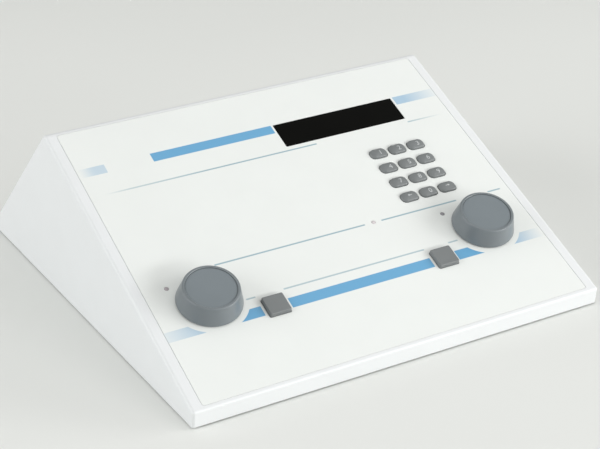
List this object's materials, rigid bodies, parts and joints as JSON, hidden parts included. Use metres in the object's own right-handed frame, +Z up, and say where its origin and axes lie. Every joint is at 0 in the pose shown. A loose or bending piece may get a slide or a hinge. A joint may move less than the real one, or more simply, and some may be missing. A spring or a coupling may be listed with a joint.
{
  "type": "audiometer",
  "caption": "Wedge-shaped desktop audiometer whose sloping panel carries a display window, a numeric keypad, large dials and square push buttons.",
  "frame": {"origin": "on the surface that the feet stand on, under the middle of the casing", "axes": "+X to the right as seen from the front, +Y from the front lip to the rear, +Z up"},
  "size_m": [0.3, 0.3928, 0.1257],
  "materials": {
    "casing_plastic": "fine satin",
    "panel_aluminium": "brushed",
    "panel_film": "satin printed film",
    "display_black": "clear acrylic over a black surround",
    "display_dark": "dark liquid-crystal glass",
    "control_grey": "satin",
    "knob_grey": "satin",
    "led_grey": "diffused lens",
    "steel": "zinc plated",
    "board_green": "solder mask",
    "black_plastic": "moulded",
    "capacitor_blue": "sleeved",
    "transformer_steel": "varnished",
    "rubber": "moulded"
  },
  "bodies": {
    "housing": {"upper_casing": "casing_plastic", "base_plate": "casing_plastic", "base_screws": "steel", "rubber_feet": "rubber", "front_panel": "panel_aluminium", "panel_nuts": "steel", "panel_film": "panel_film", "display_window": "display_black", "display_bezel": "steel", "display_glass": "display_dark", "display_board": "board_green", "display_spacers": "steel", "display_screws": "steel", "keypad_board": "board_green", "key_switches": "black_plastic", "keypad_spacers": "steel", "keypad_screws": "steel", "button_switches": "black_plastic", "left_encoder": "black_plastic", "right_encoder": "black_plastic", "encoder_nuts": "steel", "indicator_leds": "led_grey", "control_board": "board_green", "control_spacers": "steel", "control_screws": "steel", "main_board": "board_green", "main_board_screws": "steel", "board_chips": "black_plastic", "board_capacitors": "capacitor_blue", "transformer": "transformer_steel", "rear_panel": "panel_aluminium", "rear_panel_screws": "steel", "phone_jacks": "black_plastic", "jack_nuts": "steel", "data_port": "steel", "power_inlet": "black_plastic", "power_switch": "black_plastic"},
    "key_1": {"key_1": "control_grey"},
    "key_2": {"key_2": "control_grey"},
    "key_3": {"key_3": "control_grey"},
    "key_4": {"key_4": "control_grey"},
    "key_5": {"key_5": "control_grey"},
    "key_6": {"key_6": "control_grey"},
    "key_7": {"key_7": "control_grey"},
    "key_8": {"key_8": "control_grey"},
    "key_9": {"key_9": "control_grey"},
    "key_clear": {"key_clear": "control_grey"},
    "key_0": {"key_0": "control_grey"},
    "key_enter": {"key_enter": "control_grey"},
    "left_button": {"left_button": "control_grey"},
    "right_button": {"right_button": "control_grey"},
    "left_dial": {"left_knob": "knob_grey", "left_knob_cap": "knob_grey", "left_encoder_shaft": "steel"},
    "right_dial": {"right_knob": "knob_grey", "right_knob_cap": "knob_grey", "right_encoder_shaft": "steel"},
    "power_rocker": {"power_rocker": "black_plastic"}
  },
  "joints": [
    {"name": "key_1_press", "type": "slide", "parent": "housing", "child": "key_1", "axis": [0, 0.4462, -0.8949], "range_m": [0, 0.0012], "stiffness_N_per_m": 500, "springref_m": -0.0008},
    {"name": "key_2_press", "type": "slide", "parent": "housing", "child": "key_2", "axis": [0, 0.4462, -0.8949], "range_m": [0, 0.0012], "stiffness_N_per_m": 500, "springref_m": -0.0008},
    {"name": "key_3_press", "type": "slide", "parent": "housing", "child": "key_3", "axis": [0, 0.4462, -0.8949], "range_m": [0, 0.0012], "stiffness_N_per_m": 500, "springref_m": -0.0008},
    {"name": "key_4_press", "type": "slide", "parent": "housing", "child": "key_4", "axis": [0, 0.4462, -0.8949], "range_m": [0, 0.0012], "stiffness_N_per_m": 500, "springref_m": -0.0008},
    {"name": "key_5_press", "type": "slide", "parent": "housing", "child": "key_5", "axis": [0, 0.4462, -0.8949], "range_m": [0, 0.0012], "stiffness_N_per_m": 500, "springref_m": -0.0008},
    {"name": "key_6_press", "type": "slide", "parent": "housing", "child": "key_6", "axis": [0, 0.4462, -0.8949], "range_m": [0, 0.0012], "stiffness_N_per_m": 500, "springref_m": -0.0008},
    {"name": "key_7_press", "type": "slide", "parent": "housing", "child": "key_7", "axis": [0, 0.4462, -0.8949], "range_m": [0, 0.0012], "stiffness_N_per_m": 500, "springref_m": -0.0008},
    {"name": "key_8_press", "type": "slide", "parent": "housing", "child": "key_8", "axis": [0, 0.4462, -0.8949], "range_m": [0, 0.0012], "stiffness_N_per_m": 500, "springref_m": -0.0008},
    {"name": "key_9_press", "type": "slide", "parent": "housing", "child": "key_9", "axis": [0, 0.4462, -0.8949], "range_m": [0, 0.0012], "stiffness_N_per_m": 500, "springref_m": -0.0008},
    {"name": "key_clear_press", "type": "slide", "parent": "housing", "child": "key_clear", "axis": [0, 0.4462, -0.8949], "range_m": [0, 0.0012], "stiffness_N_per_m": 500, "springref_m": -0.0008},
    {"name": "key_0_press", "type": "slide", "parent": "housing", "child": "key_0", "axis": [0, 0.4462, -0.8949], "range_m": [0, 0.0012], "stiffness_N_per_m": 500, "springref_m": -0.0008},
    {"name": "key_enter_press", "type": "slide", "parent": "housing", "child": "key_enter", "axis": [0, 0.4462, -0.8949], "range_m": [0, 0.0012], "stiffness_N_per_m": 500, "springref_m": -0.0008},
    {"name": "left_button_press", "type": "slide", "parent": "housing", "child": "left_button", "axis": [0, 0.4462, -0.8949], "range_m": [0, 0.0015], "stiffness_N_per_m": 600, "springref_m": -0.0008},
    {"name": "right_button_press", "type": "slide", "parent": "housing", "child": "right_button", "axis": [0, 0.4462, -0.8949], "range_m": [0, 0.0015], "stiffness_N_per_m": 600, "springref_m": -0.0008},
    {"name": "left_dial_turn", "type": "hinge", "parent": "housing", "child": "left_dial", "pos_m": [-0.104, -0.12709, 0.04717], "axis": [0, -0.4462, 0.8949], "continuous": true},
    {"name": "right_dial_turn", "type": "hinge", "parent": "housing", "child": "right_dial", "pos_m": [0.104, -0.12709, 0.04717], "axis": [0, -0.4462, 0.8949], "continuous": true},
    {"name": "power_rocker_tilt", "type": "hinge", "parent": "housing", "child": "power_rocker", "pos_m": [-0.075, 0.1531, 0.04186], "axis": [0, 0.8211, -0.5708], "range_deg": [0, 14]}
  ]
}
